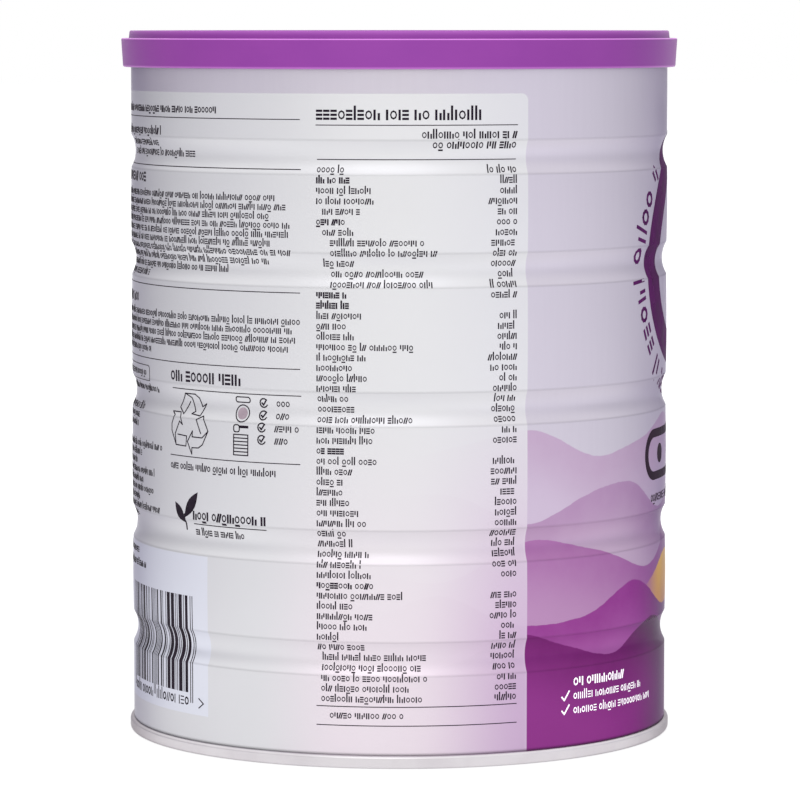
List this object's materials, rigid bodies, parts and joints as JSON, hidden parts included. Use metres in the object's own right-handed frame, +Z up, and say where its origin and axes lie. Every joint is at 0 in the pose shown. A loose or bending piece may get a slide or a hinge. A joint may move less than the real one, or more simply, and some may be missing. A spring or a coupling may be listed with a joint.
{
  "type": "milk powder tin",
  "caption": "Tall round steel tin with rolled beads round its wall, a seamed-on base end and a purple push-on plastic lid, shut, for powdered milk.",
  "frame": {"origin": "on the tin's axis, level with the flat foot of the base seam that it stands on", "axes": "+Z up along the tin's axis; -Y towards the side that the picture shows, with the list of figures; +X towards the art side"},
  "size_m": [0.1316, 0.1316, 0.166],
  "materials": {
    "printed_tinplate": "satin pearl lilac litho print under clear varnish",
    "bare_tinplate": "bright, lightly rolled",
    "purple_plastic": "moulded, semi-gloss"
  },
  "bodies": {
    "root": {"can_body": "printed_tinplate", "base_end": "bare_tinplate", "lid": "purple_plastic"}
  },
  "joints": []
}
